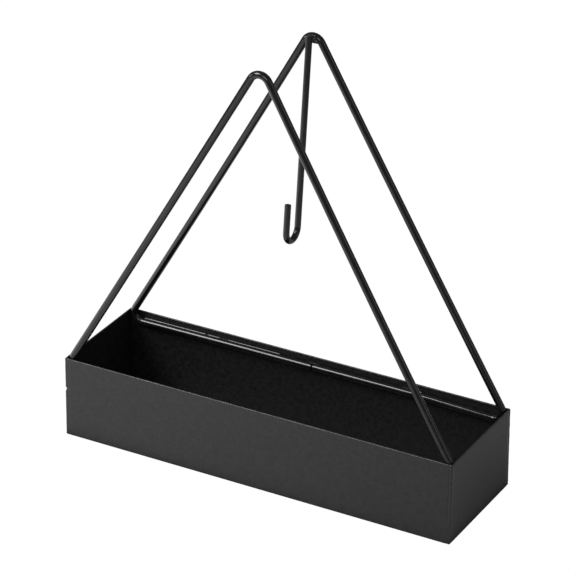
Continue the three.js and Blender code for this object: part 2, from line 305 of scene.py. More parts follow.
def build_dust_and_glint_group():
    tree, start, end = new_group("dust_and_glint_flecks", "ShaderNodeTree", [
        ("Vector", "Vector", None),
        ("Normal", "Vector", None),
        ("Amount", "Float", 0.2),
        ("Fleck Size", "Float", 0.6),
    ], [("Mask", "Float")])
    upward = add_node(tree, "ShaderNodeSeparateXYZ", {"Vector": start["Normal"]}).outputs["Z"]
    lying = remap(tree, upward, 0.5, 0.9)
    scale = math_node(tree, "DIVIDE", 1.0 / MM, start["Fleck Size"])
    sparse = remap(tree, noise_mask(tree, start["Vector"], scale, 2.0), 0.56, 0.72)
    lit = math_node(tree, "MULTIPLY", lying, sparse)
    tree.links.new(math_node(tree, "MULTIPLY", lit, start["Amount"], clamp=True), end["Mask"])
    return tree


rim_coat_and_highlight_group = build_rim_coat_and_highlight_group()
dust_and_glint_group = build_dust_and_glint_group()
print("finish groups:", skin_group.name, rim_coat_and_highlight_group.name, dust_and_glint_group.name)


# %% [markdown]
# ## Materials
# Each material is one Principled shader fed by the groups. The sheet is satin, the wires are
# glossier because powder flows out better on drawn wire, and the welds keep the rough, pitted
# surface of the metal under the coat.


# %% Material builder
DUST_AND_GLINT_TONE = (0.16, 0.155, 0.15)


def coat_material(name, deep, light, gloss, patch, ripple, grain, depth,
                  rim=None, rim_gloss=0.3, dust_and_glint=0.0):
    """A powder-coated metal. Sizes in the groups are in millimetres, depth is the bump's height."""
    material = bpy.data.materials.new(name)
    material.use_nodes = True
    tree = material.node_tree
    coords = tree.nodes.new("ShaderNodeTexCoord").outputs
    skin = add_node(tree, "ShaderNodeGroup", {
        "Vector": coords["Object"], "Deep Tone": (*deep, 1.0), "Light Tone": (*light, 1.0),
        "Patch Size": patch, "Ripple Size": ripple, "Grain Size": grain[0],
        "Grain Share": grain[1], "Gloss Low": gloss[0], "Gloss High": gloss[1],
    }, node_tree=skin_group).outputs
    colour, roughness = skin["Colour"], skin["Roughness"]
    if rim is not None:
        edge = add_node(tree, "ShaderNodeGroup", {"Vector": coords["Object"]}, node_tree=rim_coat_and_highlight_group)
        mask = edge.outputs["Mask"]
        # Along the rim the coat is smoother, and its colour is painted lighter: a painted
        # highlight.
        colour = mix_node(tree, "RGBA", mask, colour, (*rim, 1.0))
        roughness = mix_node(tree, "FLOAT", mask, roughness, rim_gloss)
    if dust_and_glint > 0.0:
        # Light flecks on upward faces: dust, and painted glints of the orange peel.
        dust_and_glints = add_node(tree, "ShaderNodeGroup", {
            "Vector": coords["Object"], "Normal": coords["Normal"], "Amount": dust_and_glint,
        }, node_tree=dust_and_glint_group)
        colour = mix_node(tree, "RGBA", dust_and_glints.outputs["Mask"], colour, (*DUST_AND_GLINT_TONE, 1.0))
    bump = add_node(tree, "ShaderNodeBump", {
        "Strength": 1.0, "Distance": depth, "Height": skin["Height"],
    })
    shader = tree.nodes["Principled BSDF"]
    for label, value in (("Base Color", colour), ("Roughness", roughness), ("Metallic", 0.0),
                         ("IOR", 1.5), ("Normal", bump.outputs["Normal"])):
        fill(tree, shader.inputs[label], value)
    return material


# The rim colours below are lighter than the coats: a painted highlight along the rim.
sheet_coat = coat_material(
    "sheet_coat", (0.0058, 0.0058, 0.0059), (0.0132, 0.0132, 0.0134), gloss=(0.41, 0.48),
    patch=2.2, ripple=1.1, grain=(0.42, 0.5), depth=0.050 * MM,
    rim=(0.055, 0.055, 0.055), rim_gloss=0.20, dust_and_glint=0.04)
seam_coat = coat_material(
    "seam_coat", (0.005, 0.0052, 0.005), (0.014, 0.0145, 0.014), gloss=(0.30, 0.44),
    patch=3.0, ripple=0.8, grain=(0.35, 0.5), depth=0.045 * MM,
    rim=(0.03, 0.03, 0.03), rim_gloss=0.28)
wire_coat = coat_material(
    "wire_coat", (0.0035, 0.0037, 0.0038), (0.009, 0.0093, 0.0096), gloss=(0.12, 0.18),
    patch=4.0, ripple=1.2, grain=(0.35, 0.25), depth=0.005 * MM)
weld_coat = coat_material(
    "weld_coat", (0.003, 0.003, 0.0031), (0.009, 0.009, 0.009), gloss=(0.34, 0.50),
    patch=1.5, ripple=0.5, grain=(0.22, 0.6), depth=0.060 * MM)
print("materials:", [m.name for m in (sheet_coat, seam_coat, wire_coat, weld_coat)])

# %% [markdown]
# ## Tray
# The tray is one sheet blank, folded up on four sides, with its corners welded and ground round.
# One way is to bend a flat grid; another is to stack rings. Rings are used here: each level of
# the wall is a rounded rectangle, and walking the levels up the outside, over the rim and down
# the inside gives the sheet its real thickness, its floor bends and its rounded cut edge.


# %% Levels of the sheet, outside then inside
WALL_LEVELS = 76
BEND_STEPS = 6
RIM_STEPS = 4


def quarter_turn(steps):
    """Angles from nought to a right angle, in even steps."""
    return [math.pi / 2 * i / steps for i in range(steps + 1)]


def sheet_levels():
    """(height, inset from the outer face) of each ring, from under the floor to its inside."""
    bend, rim = quarter_turn(BEND_STEPS), quarter_turn(RIM_STEPS)
    wall_top = TRAY_RIM - RIM_ROUND
    wall = [SEAM_FOOT + (wall_top - SEAM_FOOT) * i / WALL_LEVELS for i in range(WALL_LEVELS + 1)]
    levels = [(FLOOR_BEND * (1 - math.cos(t)), FLOOR_BEND * (1 - math.sin(t))) for t in bend]
    levels += [(z, 0.0) for z in wall]
    levels += [(TRAY_RIM - RIM_ROUND * (1 - math.sin(t)), RIM_ROUND * (1 - math.cos(t)))
               for t in rim[1:]]
    levels += [(TRAY_RIM - RIM_ROUND * (1 - math.cos(t)), SHEET - RIM_ROUND * (1 - math.sin(t)))
               for t in rim]
    levels += [(z, SHEET) for z in reversed(wall[:-1])]
    levels += [(SHEET + INNER_BEND * (1 - math.sin(t)), SHEET + INNER_BEND * (1 - math.cos(t)))
               for t in bend]
    return levels


LEVELS = sheet_levels()
first_wall = BEND_STEPS + 1
last_wall = len(LEVELS) - BEND_STEPS - 2
print("levels:", len(LEVELS), "seam from level", first_wall, "to", last_wall)

# %% [markdown]
# Real sheet is never dead flat. A slow inward warp of about a tenth of a millimetre is enough to
# bend the reflections, and the ground seams get a closer ripple. The warp only goes inwards, so
# the tray keeps its outside size. Before any warp, each ring is a row of stations: the walls and
# the corners take turns.

# %% Stations round the tray
LONG_STEPS = 80
SHORT_STEPS = 24
ARC_STEPS = 10
FLANK_STEPS = 9
CORNER_STEPS = ARC_STEPS + 2 * FLANK_STEPS
FOOT_SHARE = 0.8        # radius of a corner round the floor bend, as a share of CORNER_ROUND


def ring_stations():
    """(zone, step, steps in the zone) once round the tray; a zone is a wall or a corner."""
    zones = [("front", LONG_STEPS), ("front_right", CORNER_STEPS), ("right", SHORT_STEPS),
             ("rear_right", CORNER_STEPS), ("rear", LONG_STEPS), ("rear_left", CORNER_STEPS),
             ("left", SHORT_STEPS), ("front_left", CORNER_STEPS)]
    return [(zone, i, count) for zone, count in zones for i in range(count)]


def corner_point(step, width_x, width_y, radius):
    """A point of a corner band, as distances in from the two outer faces."""
    if step <= FLANK_STEPS:
        return width_x + (radius - width_x) * step / FLANK_STEPS, 0.0
    if step >= ARC_STEPS + FLANK_STEPS:
        return 0.0, radius + (width_y - radius) * (step - ARC_STEPS - FLANK_STEPS) / FLANK_STEPS
    turn = math.pi / 2 * (step - FLANK_STEPS) / ARC_STEPS
    return radius * (1 - math.sin(turn)), radius * (1 - math.cos(turn))


def ring_point(zone, step, count, height, inset):
    """One point of a ring, as the sheet would be if it were flat and true."""
    half_x = TRAY_HALF_LENGTH - inset
    face_y = TRAY_HALF_DEPTH - LEAN_SLOPE * height
    half_y = face_y - inset
    band_x = TRAY_HALF_LENGTH - SEAM_BAND
    band_y = face_y - SEAM_BAND
    along = 2 * (step / count) - 1
    if zone in ("front", "rear"):
        side = -1 if zone == "front" else 1
        return Vector((-side * band_x * along, side * half_y, height))
    if zone in ("right", "left"):
        side = 1 if zone == "right" else -1
        return Vector((side * half_x, side * band_y * along, height))
    sx = 1 if zone.endswith("right") else -1
    sy = 1 if zone.startswith("rear") else -1
    share = min(inset / SHEET, 1.0)
    radius = CORNER_ROUND + (INNER_CORNER - CORNER_ROUND) * share
    if height < FLOOR_BEND and inset < FLOOR_BEND + 1e-9 and share < 1.0:
        radius = CORNER_ROUND * FOOT_SHARE
    if sx * sy > 0:
        step = count - step
    in_x, in_y = corner_point(step, half_x - band_x, half_y - band_y, radius)
    return Vector((sx * (half_x - in_x), sy * (half_y - in_y), height))


stations = ring_stations()
print("stations in a ring:", len(stations))


# %% [markdown]
# Where the ground bead meets the sheet, a shallow groove runs down each corner. The grinder left
# one nick on the front left corner.


# %% Warp of the sheet and ripple of the seams
LONG_WARP = 0.16 * MM
SHORT_WARP = 0.10 * MM
SEAM_RIPPLE = 0.12      # in mm
SEAM_GRAIN = 0.05       # in mm
GROOVE_DEPTH = 0.34 * MM
GROOVE_WIDTH = 0.3 * MM
GROOVE_DRIFT = 0.14 * MM
NICK_HEIGHT = 24.0 * MM
NICK_DEPTH = 0.58 * MM
NICK_SPREAD = 0.75 * MM
# Distance of the groove from the end of the tray, and from the long face, for each corner.
GROOVES = {
    "front_left": (2.55 * MM, 1.6 * MM), "front_right": (1.45 * MM, 2.2 * MM),
    "rear_right": (1.9 * MM, 1.5 * MM), "rear_left": (2.3 * MM, 1.7 * MM),
}


def slow_noise(x, y, z):
    """Smooth noise from 0 to 1."""
    return 0.5 + 0.5 * wavy.noise(Vector((x, y, z)))


def groove_push(point, zone):
    """Depth of the groove beside the bead, on both faces of a corner."""
    from_end = TRAY_HALF_LENGTH - abs(point.x)
    from_face = TRAY_HALF_DEPTH - LEAN_SLOPE * point.z - abs(point.y)
    on_end, on_face = GROOVES[zone]
    drift = GROOVE_DRIFT * wavy.noise(Vector((point.z / (5 * MM), on_end * 900, 2.0)))
    if from_face < from_end:
        across = from_end - on_end - drift
    else:
        across = from_face - on_face - drift
    return GROOVE_DEPTH * math.exp(-(across / GROOVE_WIDTH) ** 2)


def inward_warp(point, zone, height):
    """How far a point is pushed inwards by the sheet's warp or the seam's grinding."""
    x, y = point.x, point.y
    rise = min(max((height - 2 * MM) / (10 * MM), 0.0), 1.0)
    if zone in ("front", "rear"):
        slow = slow_noise(x / (55 * MM), height / (40 * MM), 3.7 if zone == "front" else 9.1)
        return LONG_WARP * slow * rise
    if zone in ("right", "left"):
        slow = slow_noise(y / (30 * MM), height / (30 * MM), 5.2 if zone == "right" else 1.4)
        return SHORT_WARP * slow * rise
    close = slow_noise(x / (2.2 * MM), y / (2.2 * MM), height / (1.6 * MM))
    finer = slow_noise(x / (0.9 * MM), y / (0.9 * MM), height / (0.8 * MM))
    push = (SEAM_RIPPLE * close + SEAM_GRAIN * finer) * MM + groove_push(point, zone)
    if zone == "front_left":
        push += NICK_DEPTH * math.exp(-((height - NICK_HEIGHT) / NICK_SPREAD) ** 2)
    return push


def ring_vertices():
    """All rings with their warp, which fades out towards the ends of each zone."""
    rings = []
    for height, inset in LEVELS:
        ring = []
        for zone, step, count in stations:
            point = ring_point(zone, step, count, height, inset)
            push = inward_warp(point, zone, height)
            fade = math.sin(math.pi * step / count)
            if zone in ("front", "rear"):
                point.y -= math.copysign(push * fade ** 0.5, point.y)
            elif zone in ("right", "left"):
                point.x -= math.copysign(push * fade ** 0.5, point.x)
            else:
                centre = Vector((point.x * 0.96, point.y * 0.86, point.z))
                point -= (point - centre).normalized() * (push * fade)
            point.x = min(max(point.x, tray_low.x), tray_high.x)
            point.y = min(max(point.y, tray_low.y), tray_high.y)
            ring.append(point)
        rings.append(ring)
    return rings


grid = ring_vertices()
print("grid points:", sum(len(ring) for ring in grid))

# %% [markdown]
# The rings now become solids. The pan takes every face outside the corner bands, each corner
# weld takes its own band, and the cut between them is closed on both sides, so each piece is a
# whole body of its own, as the sheet and the bead of weld are.


# %% Build the pan and the four corner welds
def mesh_piece(name, vertices, faces, material, sharp_degrees=38.0):
    """A plain mesh object at the origin, smooth except over sharp edges and round flat caps."""
    mesh = bpy.data.meshes.new(name)
    mesh.from_pydata([tuple(v) for v in vertices], [], faces)
    mesh.materials.append(material)
    mesh.validate()
    mesh.shade_smooth()
    mesh.set_sharp_from_angle(angle=math.radians(sharp_degrees))
    capped = {tuple(sorted(key)) for face in mesh.polygons if len(face.vertices) > 4
              for key in face.edge_keys}
    for edge in mesh.edges:
        if tuple(sorted(edge.vertices)) in capped:
            edge.use_edge_sharp = True
    return place(name, mesh)


def signed_volume(mesh):
    """Volume of a closed mesh; it is negative when the faces look inwards."""
    mesh.calc_loop_triangles()
    total = 0.0
    for tri in mesh.loop_triangles:
        a, b, c = (mesh.vertices[i].co for i in tri.vertices)
        total += a.dot(b.cross(c)) / 6.0
    return total


ROUND = len(stations)
CORNER_ZONES = ("front_right", "rear_right", "rear_left", "front_left")
zone_range = {}
for index, (zone, step, count) in enumerate(stations):
    zone_range.setdefault(zone, [index, index])[1] = index + 1


def quad(at, level, station):
    """The face between two rings and two stations, where at() numbers the points."""
    return (at(level, station), at(level, station + 1),
            at(level + 1, station + 1), at(level + 1, station))


def build_pan():
    vertices = [p for ring in grid for p in ring]
    top = len(grid) - 1

    def at(level, station):
        return level * ROUND + station % ROUND

    faces = []
    for level in range(top):
        for station in range(ROUND):
            in_corner = stations[station][0] in CORNER_ZONES
            if not (in_corner and first_wall <= level < last_wall):
                faces.append(quad(at, level, station))
    for zone in CORNER_ZONES:
        start, stop = zone_range[zone]
        faces.append(tuple(at(level, start) for level in range(first_wall, last_wall + 1)))
        faces.append(tuple(at(level, stop) for level in range(last_wall, first_wall - 1, -1)))
        for station in range(start, stop):
            faces.append((at(first_wall, station), at(first_wall, station + 1),
                          at(last_wall, station + 1), at(last_wall, station)))
    faces.append(tuple(at(0, station) for station in range(ROUND - 1, -1, -1)))
    faces.append(tuple(at(top, station) for station in range(ROUND)))
    return mesh_piece("folded_tray", vertices, faces, sheet_coat)


def build_corner(zone):
    start, stop = zone_range[zone]
    wide = stop - start + 1
    tall = last_wall - first_wall + 1
    vertices = [grid[level][station % ROUND] for level in range(first_wall, last_wall + 1)
                for station in range(start, stop + 1)]

    def at(level, station):
        return (level % tall) * wide + station

    faces = [quad(at, level, station) for level in range(tall) for station in range(wide - 1)]
    faces.append(tuple(at(level, 0) for level in range(tall - 1, -1, -1)))
    faces.append(tuple(at(level, wide - 1) for level in range(tall)))
    return mesh_piece("corner_seam_" + zone, vertices, faces, seam_coat)


tray = build_pan()
corners = {zone: build_corner(zone) for zone in CORNER_ZONES}
for piece in (tray, *corners.values()):
    print(piece.name, "faces", len(piece.data.polygons),
          "volume mm3", round(signed_volume(piece.data) / MM ** 3, 1))

# %% [markdown]
# ## Bent wires
# A wire part is a rule: straight runs, a bend of one radius at each corner, and a round section
# carried along. Geometry Nodes say it the same way. The tree takes a bare polyline of corners,
# rounds each corner by the radius stored there, samples the path evenly, and sweeps a circle
# along it. Near the ends the circle shrinks over a short length, as a cropped wire does once the
# powder has melted round it.


# %% Geometry tree for a bent wire
def finish_geometry(tree, geometry, material, result):
    """The last steps of each tree: smooth shading, real geometry, and one material."""
    for kind in ("GeometryNodeSetShadeSmooth", "GeometryNodeRealizeInstances"):
        geometry = add_node(tree, kind, {"Geometry": geometry}).outputs[0]
    painted = add_node(tree, "GeometryNodeSetMaterial", {
        "Geometry": geometry, "Material": material,
    })
    tree.links.new(painted.outputs[0], result)


def number_on_points(tree, name):
    """The number of that name stored on each point."""
    return add_node(tree, "GeometryNodeInputNamedAttribute", {"Name": name},
                    data_type="FLOAT").outputs["Attribute"]


def build_wire_tree():
    tree, start, end = new_group("bent_wire", "GeometryNodeTree", [
        ("Path", "Geometry", None),
        ("Wire Diameter", "Float", 3.5 * MM),
        ("Spacing", "Float", 0.6 * MM),
        ("Sides", "Int", 32),
        ("End Round", "Float", 0.45 * MM),
        ("Unevenness", "Float", 0.012),
        ("Seed", "Float", 1.0),
        ("Material", "Material", None),
    ], [("Wire", "Geometry")])
    line = add_node(tree, "GeometryNodeMeshToCurve", {"Mesh": start["Path"]})
    rounded = add_node(tree, "GeometryNodeFilletCurve", {
        "Curve": line.outputs[0], "Count": 12, "Radius": number_on_points(tree, "bend_radius"),
    }, mode="POLY")
    even = add_node(tree, "GeometryNodeResampleCurve", {
        "Curve": rounded.outputs[0], "Length": start["Spacing"],
    }, mode="LENGTH")

    def from_end():
        along = tree.nodes.new("GeometryNodeSplineParameter").outputs["Length"]
        whole = tree.nodes.new("GeometryNodeSplineLength").outputs["Length"]
        return math_node(tree, "MINIMUM", along, math_node(tree, "SUBTRACT", whole, along))

    end_stretch = math_node(tree, "MULTIPLY", start["Spacing"], 1.2)
    cuts = math_node(tree, "MULTIPLY", math_node(tree, "LESS_THAN", from_end(), end_stretch), 7.0)
    finer = add_node(tree, "GeometryNodeSubdivideCurve", {"Curve": even.outputs[0], "Cuts": cuts})
    share = math_node(tree, "DIVIDE", from_end(), start["End Round"], clamp=True)
    left = math_node(tree, "SUBTRACT", 1.0, share)
    squared = math_node(tree, "MULTIPLY", left, left)
    arc = math_node(tree, "SQRT", math_node(tree, "SUBTRACT", 1.0, squared, clamp=True))
    radius = math_node(tree, "DIVIDE", start["Wire Diameter"], 2.0)
    shrink = math_node(tree, "MULTIPLY", start["End Round"], math_node(tree, "SUBTRACT", 1.0, arc))
    position = tree.nodes.new("GeometryNodeInputPosition").outputs[0]
    ripple = noise_mask(tree, position, 180.0, 2.0, start["Seed"])
    swing = math_node(tree, "MULTIPLY", math_node(tree, "SUBTRACT", ripple, 0.5),
                      start["Unevenness"])
    section = math_node(tree, "MULTIPLY", math_node(tree, "SUBTRACT", radius, shrink),
                        math_node(tree, "ADD", swing, 1.0))
    circle = add_node(tree, "GeometryNodeCurvePrimitiveCircle", {
        "Resolution": start["Sides"], "Radius": 1.0,
    })
    swept = add_node(tree, "GeometryNodeCurveToMesh", {
        "Curve": finer.outputs[0], "Profile Curve": circle.outputs[0], "Scale": section,
        "Fill Caps": True,
    })
    finish_geometry(tree, swept.outputs[0], start["Material"], end["Wire"])
    return tree


wire_tree = build_wire_tree()
print("wire tree nodes:", len(wire_tree.nodes))


# %% [markdown]
# A modifier's inputs are set by the socket's identifier before the object is looked at for the
# first time. The evaluated result is then copied to a plain mesh, so that nothing live is left.


# %% Run a tree on a small source mesh
def run_tree(name, tree, points, edges, attributes, values):
    """Feed points and edges to a tree, and keep the result as a plain mesh object at the origin."""
    source = bpy.data.meshes.new(name + "_source")
    source.from_pydata([tuple(p) for p in points], edges, [])
    for label, numbers in attributes.items():
        source.attributes.new(label, "FLOAT", "POINT").data.foreach_set("value", numbers)
    helper = place(name + "_helper", source)
    modifier = helper.modifiers.new("build", "NODES")
    modifier.node_group = tree
    sockets = {s.name: s.identifier for s in tree.interface.items_tree if s.in_out == "INPUT"}
    for label, value in values.items():
        modifier[sockets[label]] = value
    graph = bpy.context.evaluated_depsgraph_get()
    mesh = bpy.data.meshes.new_from_object(helper.evaluated_get(graph), depsgraph=graph)
    bpy.data.objects.remove(helper)
    mesh.name = name
    if signed_volume(mesh) < 0:
        mesh.flip_normals()
    print(name, "faces", len(mesh.polygons), "volume mm3", round(signed_volume(mesh) / MM ** 3, 1))
    return place(name, mesh)


def sweep_wire(name, points, bends, diameter, spacing, end_round, seed, sides=32, unevenness=0.012):
    """A wire along the points, with the bend radius given at each."""
    steps = [(i, i + 1) for i in range(len(points) - 1)]
    return run_tree(name, wire_tree, points, steps, {"bend_radius": bends}, {
        "Wire Diameter": diameter, "Spacing": spacing, "Sides": sides, "End Round": end_round,
        "Unevenness": unevenness, "Seed": seed, "Material": wire_coat,
    })


# %% [markdown]
# ## Wire loops
# Each loop is drawn flat, x across and y up, then stood up against its leaning wall. The two
# legs would meet at a point above the rounded peak, and they bow inwards by about half a
# millimetre, because they were bent by hand round a peg. The wire's two ends meet in the middle
# of the lower run, where a narrow groove stays open between them.

# %% Path of a loop
# Lengths in mm. rise: rim to where the legs would cross; clear: leg to end wall at the rim;
# bow: inward bow of a leg; depth: lower run below the rim. Pairs are left and right, and the
# three depths are at the left foot, in the middle and at the right foot.
REAR_SHAPE = dict(rise=166.98, peak_x=0.66, peak_bend=4.65, clear=(0.36, 0.33),
                  bow=(0.47, 0.47), depth=(4.6, 4.4, 6.0))
FRONT_SHAPE = dict(rise=166.7, peak_x=0.5, peak_bend=5.0, clear=(0.1, 0.4), bow=(0.25, 0.6),
                   depth=(5.0, 5.0, 6.2))
loop_radius = LOOP_WIRE / 2
wire_inset = (SHEET + STAND_OFF + loop_radius) / math.cos(WALL_LEAN)
kink_x = SPOT_X + SPOT_LENGTH / 2
BOW_STEPS = 8


def half_span(clearance):
    return TRAY_HALF_LENGTH - SHEET - clearance - loop_radius


def stand_up(across, up, side):
    """A point of the flat drawing, stood against the front (-1) or rear (+1) wall."""
    return Vector((
        across,
        side * (TRAY_HALF_DEPTH - wire_inset - up * math.sin(WALL_LEAN)),
        up * math.cos(WALL_LEAN),
    ))


def loop_path(shape, side):
    rise = shape["rise"] * MM
    peak = Vector((shape["peak_x"] * MM, TRAY_RIM + rise))
    left_depth, middle_depth, right_depth = (d * MM for d in shape["depth"])
    level = TRAY_RIM - middle_depth

    def foot(sign, clearance, depth):
        rim = Vector((sign * half_span(clearance * MM), TRAY_RIM))
        return peak + (rim - peak) * (rise + depth) / rise

    left = foot(-1, shape["clear"][0], left_depth)
    right = foot(1, shape["clear"][1], right_depth)

    def bowed(a, b, bow):
        leg = b - a
        inward = Vector((-leg.y, leg.x)).normalized()
        steps = [i / BOW_STEPS for i in range(1, BOW_STEPS)]
        return [a + leg * t + inward * bow * MM * 4 * t * (1 - t) for t in steps]

    flat = [(Vector((BUTT_GAP / 2, level)), 0.0), (Vector((kink_x, level)), KINK_BEND),
            (right, FOOT_BEND)]
    flat += [(p, 0.0) for p in bowed(right, peak, shape["bow"][1])]
    flat += [(peak, shape["peak_bend"] * MM)]
    flat += [(p, 0.0) for p in bowed(peak, left, shape["bow"][0])] + [(left, FOOT_BEND)]
    flat += [(Vector((-kink_x, level)), KINK_BEND), (Vector((-BUTT_GAP / 2, level)), 0.0)]
    return [stand_up(p.x, p.y, side) for p, _ in flat], [bend for _, bend in flat]


def build_loop(name, shape, side, seed):
    points, bends = loop_path(shape, side)
    return sweep_wire(name, points, bends, LOOP_WIRE, 0.6 * MM, 0.45 * MM, seed)


front_loop = build_loop("front_wire_loop", FRONT_SHAPE, -1, 2.0)
rear_loop = build_loop("rear_wire_loop", REAR_SHAPE, 1, 7.0)

# %% [markdown]
# Melted powder bridges the narrow gap between a wire and the wall behind it, and leaves a bead
# along the top of the gap. The same tree sweeps it as a wire about a millimetre thick, sunk part
# way into the wall so that only its upper side shows, and it is joined to the loop it belongs to.

# %% Powder bead above the rear run
BEAD_BACK = 1.86 * MM
BEAD_UP = 0.93 * MM
BEAD_WANDER = 0.03 * MM
BEADS = [(-92, -58, 1.26), (-57.5, -18, 1.04), (49, 56, 1.1)]     # from, to and thickness in mm


def bead_path(start, stop, step=3 * MM):
    count = max(2, int(abs(stop - start) / step))
    left_depth, middle_depth, right_depth = REAR_SHAPE["depth"]
    points = []
    for i in range(count + 1):
        x = start + (stop - start) * i / count
        end_depth = right_depth if x > 0 else left_depth
        beyond_kink = max(abs(x) - kink_x, 0.0) / (half_span(0.0) - kink_x)
        fall = beyond_kink * (end_depth - middle_depth)
        spot = stand_up(x, TRAY_RIM - (middle_depth + fall) * MM, 1)
        wander = BEAD_WANDER * wavy.noise(Vector((x / (9 * MM), 0.3, 0.0)))
        points.append(spot + Vector((0.0, BEAD_BACK, BEAD_UP + wander)))
    return points


def join_pieces(main, extra):
    """Add the extra pieces' meshes to the main piece, which keeps its name and its place."""
    with bpy.context.temp_override(active_object=main, selected_editable_objects=[main, *extra]):
        bpy.ops.object.join()
    return main


beads = []
for number, (start, stop, width) in enumerate(BEADS):
    line = bead_path(start * MM, stop * MM)
    beads.append(sweep_wire(f"powder_bead_{number}", line, [0.0] * len(line), width * MM, 1.0 * MM,
                            0.4 * MM, 3.0 + number, sides=28, unevenness=0.08))
rear_loop = join_pieces(rear_loop, beads)

# %% [markdown]
# ## Hook
# The hook is a thinner wire in one upright plane. Its shaft touches the front of the rear loop's
# peak and leans forwards, so that the J ends up over the middle of the tray. The end of the J is
# cropped square.

# %% Path of the hook
hook_radius = HOOK_WIRE / 2
rear_rise = REAR_SHAPE["rise"] * MM
rear_slope = math.atan2(rear_rise, half_span(REAR_SHAPE["clear"][0] * MM))
peak_drop = REAR_SHAPE["peak_bend"] * MM * (1 / math.cos(rear_slope) - 1)
peak_centre = stand_up(0.0, TRAY_RIM + rear_rise - peak_drop, 1)
hook_down = Vector((0.0, -math.sin(HOOK_LEAN), -math.cos(HOOK_LEAN)))
hook_forward = Vector((0.0, -math.cos(HOOK_LEAN), math.sin(HOOK_LEAN)))
touch = Vector((HOOK_X, peak_centre.y, peak_centre.z)) + hook_forward * (loop_radius + hook_radius)


def on_shaft(distance):
    return touch + hook_down * distance


def hook_path():
    """Corners of the hook's wire, and the bend radius at each."""
    start = on_shaft(HOOK_SHAFT)
    low = start + hook_down * HOOK_BEND
    across = hook_forward * 2 * HOOK_BEND
    bend = HOOK_BEND * 0.999        # a shade less than half the width, so the two bends fit
    points = [on_shaft(-HOOK_ABOVE), low, low + across, start + across - hook_down * HOOK_TIP]
    return points, [0.0, bend, bend, 0.0]


hook = sweep_wire("coil_hook", *hook_path(), HOOK_WIRE, 0.5 * MM, 0.28 * MM, 4.0)

# %% [markdown]
# ## Weld metal
# Weld metal freezes as overlapping drops that wet both pieces. Metaballs could blend them, but a
# volume does it with better control: drops become a volume, the volume becomes a skin, the skin
# is relaxed so that the drops flow together, and noise then opens the pits left by gas.


# %% Geometry tree for weld metal
def build_weld_tree():
    tree, start, end = new_group("weld_metal", "GeometryNodeTree", [
        ("Drops", "Geometry", None),
        ("Voxel", "Float", 0.12 * MM),
        ("Relax", "Int", 8),
        ("Pit Depth", "Float", 0.12 * MM),
        ("Pit Size", "Float", 0.9 * MM),
        ("Seed", "Float", 1.0),
        ("Material", "Material", None),
    ], [("Weld", "Geometry")])
    drops = add_node(tree, "GeometryNodeMeshToPoints", {"Mesh": start["Drops"]})
    volume = add_node(tree, "GeometryNodePointsToVolume", {
        "Points": drops.outputs[0], "Density": 1.0, "Voxel Size": start["Voxel"],
        "Radius": number_on_points(tree, "drop_radius"),
    }, resolution_mode="VOXEL_SIZE")
    skin = add_node(tree, "GeometryNodeVolumeToMesh", {
        "Volume": volume.outputs[0], "Threshold": 0.1,
    })
    position = tree.nodes.new("GeometryNodeInputPosition").outputs[0]
    relaxed = add_node(tree, "GeometryNodeBlurAttribute", {"Iterations": start["Relax"]},
                       data_type="FLOAT_VECTOR")
    vector_in = [s for s in relaxed.inputs if s.type == "VECTOR"][0]
    tree.links.new(position, vector_in)
    blurred = [s for s in relaxed.outputs if s.type == "VECTOR"][0]
    flowed = add_node(tree, "GeometryNodeSetPosition", {
        "Geometry": skin.outputs[0], "Position": blurred,
    })
    scale = math_node(tree, "DIVIDE", 1.0, start["Pit Size"])
    pits = noise_mask(tree, position, scale, 2.0, start["Seed"])
    lump = math_node(tree, "MULTIPLY", math_node(tree, "SUBTRACT", pits, 0.5), start["Pit Depth"])
    normal = tree.nodes.new("GeometryNodeInputNormal").outputs[0]
    offset = scaled(tree, normal, math_node(tree, "MULTIPLY", lump, 2.0))
    pitted = add_node(tree, "GeometryNodeSetPosition", {
        "Geometry": flowed.outputs[0], "Offset": offset,
    })
    finish_geometry(tree, pitted.outputs[0], start["Material"], end["Weld"])
    return tree


weld_tree = build_weld_tree()
print("weld tree nodes:", len(weld_tree.nodes))

# %% [markdown]
# The welder laid one broad lump to the right of the shaft, filling the hollow under the peak,
# and a slim fillet down the left side. Each spot weld squeezed out two thin lines of metal
# between wire and wall, one above the contact and one below it. Two drops of spatter froze just
# below the rim, on the corner weld at the front right.

# %% Hook welds and spot welds
def weld_piece(name, drops, seed, voxel, relax, depth, size, coat=weld_coat):
    """Weld metal grown from drops, each given as x, y, z and radius in metres."""
    points = [Vector(d[:3]) for d in drops]
    return run_tree(name, weld_tree, points, [], {"drop_radius": [d[3] for d in drops]}, {
        "Voxel": voxel, "Relax": relax, "Pit Depth": depth, "Pit Size": size, "Seed": seed,
        "Material": coat,
    })


def hook_drops(rows):
    """Drops given in mm: right of the shaft, in front of the peak wire, below it, radius."""
    return [(HOOK_X + a * MM, peak_centre.y - b * MM, peak_centre.z - c * MM, r * MM)
            for a, b, c, r in rows]


broad_drops = hook_drops([
    (1.0, 1.45, -0.75, 0.70), (2.0, 1.4, -0.6, 0.70), (-0.2, 1.5, -0.8, 0.65),
    (1.5, 2.2, 0.0, 0.85), (2.5, 2.0, 0.3, 0.85), (1.4, 2.1, 1.0, 0.95), (2.4, 2.1, 1.2, 0.90),
    (3.3, 1.9, 1.4, 0.80), (4.0, 1.6, 1.9, 0.60), (1.3, 1.9, 1.9, 0.70), (2.2, 1.8, 2.0, 0.70),
    (3.1, 1.6, 2.0, 0.65),
])
slim_drops = hook_drops([
    (-1.3, 2.1, -0.2, 0.7), (-1.45, 2.0, 0.8, 0.75), (-1.4, 1.9, 1.8, 0.7), (-1.35, 2.0, 2.9, 0.55),
    (-1.3, 2.2, 3.9, 0.45), (-1.2, 2.4, 4.9, 0.36),
])
hook_weld_right = weld_piece("hook_weld_broad", broad_drops, 3.0, 0.11 * MM, 7, 0.34 * MM, 0.9 * MM)
hook_weld_left = weld_piece("hook_weld_slim", slim_drops, 5.0, 0.10 * MM, 6, 0.08 * MM, 0.9 * MM)


